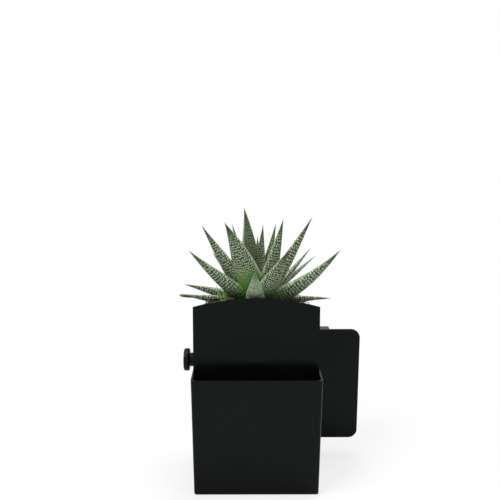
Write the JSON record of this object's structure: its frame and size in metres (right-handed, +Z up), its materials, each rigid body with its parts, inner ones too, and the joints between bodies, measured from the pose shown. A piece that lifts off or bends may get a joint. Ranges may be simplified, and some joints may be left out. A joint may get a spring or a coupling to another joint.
{
  "type": "wall planter",
  "caption": "Wall planter of folded black sheet metal: arched pot with a wedge pocket in front, lift-out liner with a striped haworthia, hanging plate with hook and wall cleat.",
  "frame": {"origin": "centre of the pot's flat base", "axes": "+Z up along the object, +X to the right seen from the pocket side, +Y towards the wall"},
  "size_m": [0.1389, 0.0826, 0.203],
  "materials": {
    "black_coat": "satin black powder coat",
    "zinc_steel": "zinc plated",
    "rivet_steel": "plain steel",
    "screw_steel": "black oxide",
    "stud_steel": "black zinc",
    "bumper_rubber": "matte",
    "knob_plastic": "glossy black",
    "pad_plastic": "matte",
    "liner_plastic": "matte dark brown",
    "soil": "crumbly brown potting soil",
    "haworthia_leaf": "dark green leaf with white bumps",
    "dry_leaf": "dry brown leaf",
    "pup_leaf": "bright green young leaf"
  },
  "bodies": {
    "wall_cleat": {"wall_cleat": "zinc_steel"},
    "planter": {"arch_panel": "black_coat", "pot_body": "black_coat", "pot_floor": "black_coat", "pocket_front": "black_coat", "hanger_plate": "black_coat", "back_rivets": "rivet_steel", "wall_bumpers": "bumper_rubber", "bumper_screws": "screw_steel", "clamp_nut": "black_coat"},
    "liner": {"liner": "liner_plastic", "potting_soil": "soil", "plant_crown": "haworthia_leaf", "dry_leaf_left": "dry_leaf", "dry_leaf_left_rear": "dry_leaf", "dry_leaf_right": "dry_leaf", "dry_leaf_right_rear": "dry_leaf", "leaf_back_slim_left": "haworthia_leaf", "leaf_back_slim_low": "haworthia_leaf", "leaf_back_slim_middle": "haworthia_leaf", "leaf_back_slim_right": "haworthia_leaf", "leaf_back_tall": "haworthia_leaf", "leaf_front_broad": "haworthia_leaf", "leaf_front_right": "haworthia_leaf", "leaf_front_small": "haworthia_leaf", "leaf_left_flat": "haworthia_leaf", "leaf_left_high": "haworthia_leaf", "leaf_left_long": "haworthia_leaf", "leaf_left_lowest": "haworthia_leaf", "leaf_left_short": "haworthia_leaf", "leaf_rear_inner_left": "haworthia_leaf", "leaf_rear_inner_right": "haworthia_leaf", "leaf_rear_left": "haworthia_leaf", "leaf_rear_middle": "haworthia_leaf", "leaf_rear_right": "haworthia_leaf", "leaf_right_back": "haworthia_leaf", "leaf_right_high": "haworthia_leaf", "leaf_right_long": "haworthia_leaf", "leaf_right_lowest": "haworthia_leaf", "leaf_right_short": "haworthia_leaf", "leaf_right_upright": "haworthia_leaf", "pup_leaf_left": "pup_leaf", "pup_leaf_right": "pup_leaf"},
    "clamp_pad": {"clamp_pad": "pad_plastic"},
    "thumb_screw": {"thumb_screw_head": "knob_plastic", "thumb_screw_stud": "stud_steel"}
  },
  "joints": [
    {"name": "planter_lift", "type": "slide", "parent": "wall_cleat", "child": "planter", "axis": [0, 0, 1], "range_m": [0, 0.015]},
    {"name": "liner_lift", "type": "slide", "parent": "planter", "child": "liner", "axis": [0, 0, 1], "range_m": [0, 0.125]},
    {"name": "clamp_travel", "type": "slide", "parent": "planter", "child": "clamp_pad", "axis": [-1, 0, 0], "range_m": [0, 0.0028]},
    {"name": "thumb_screw_turn", "type": "hinge", "parent": "clamp_pad", "child": "thumb_screw", "pos_m": [-0.0459, -0.0055, 0.0932], "axis": [-1, 0, 0], "range_deg": [0, 1440]}
  ],
  "couplings": [
    {"joint": "thumb_screw_turn", "follows": "clamp_travel", "rad_per_m": 8976}
  ]
}
